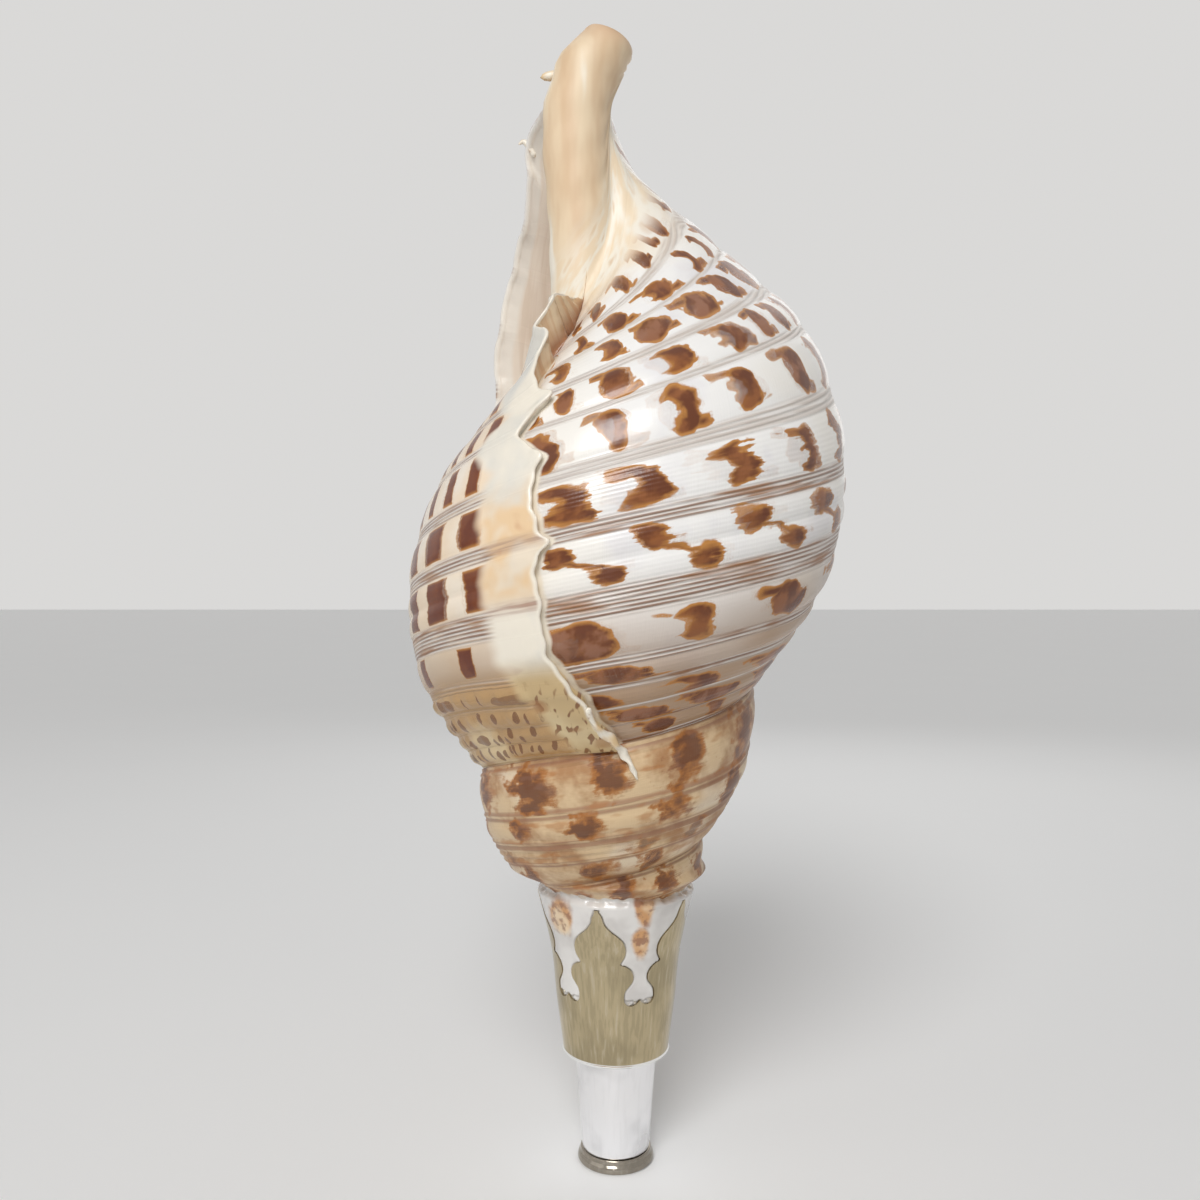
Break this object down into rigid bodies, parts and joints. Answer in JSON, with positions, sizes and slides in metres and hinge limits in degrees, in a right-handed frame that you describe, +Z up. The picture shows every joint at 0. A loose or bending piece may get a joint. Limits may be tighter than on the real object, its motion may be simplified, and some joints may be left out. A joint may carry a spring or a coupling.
{
  "type": "shell horn",
  "caption": "Large triton shell made into a horn, standing on a flared metal mouthpiece with its siphonal canal upward",
  "frame": {"origin": "under the middle of the bounding box, at the height of the rim's flat underside", "axes": "+Z up the shell from its mouthpiece to the canal's tip; -Y is the side seen in the picture, with the old lip's rib facing it; the opening faces -X"},
  "size_m": [0.1674, 0.1956, 0.4495],
  "materials": {
    "shell": "gloss",
    "plaster": "gloss",
    "polished_metal": "polished"
  },
  "bodies": {
    "root": {"shell": "shell", "seat": "plaster", "sleeve": "polished_metal", "tube": "polished_metal", "rim": "polished_metal"}
  },
  "joints": []
}
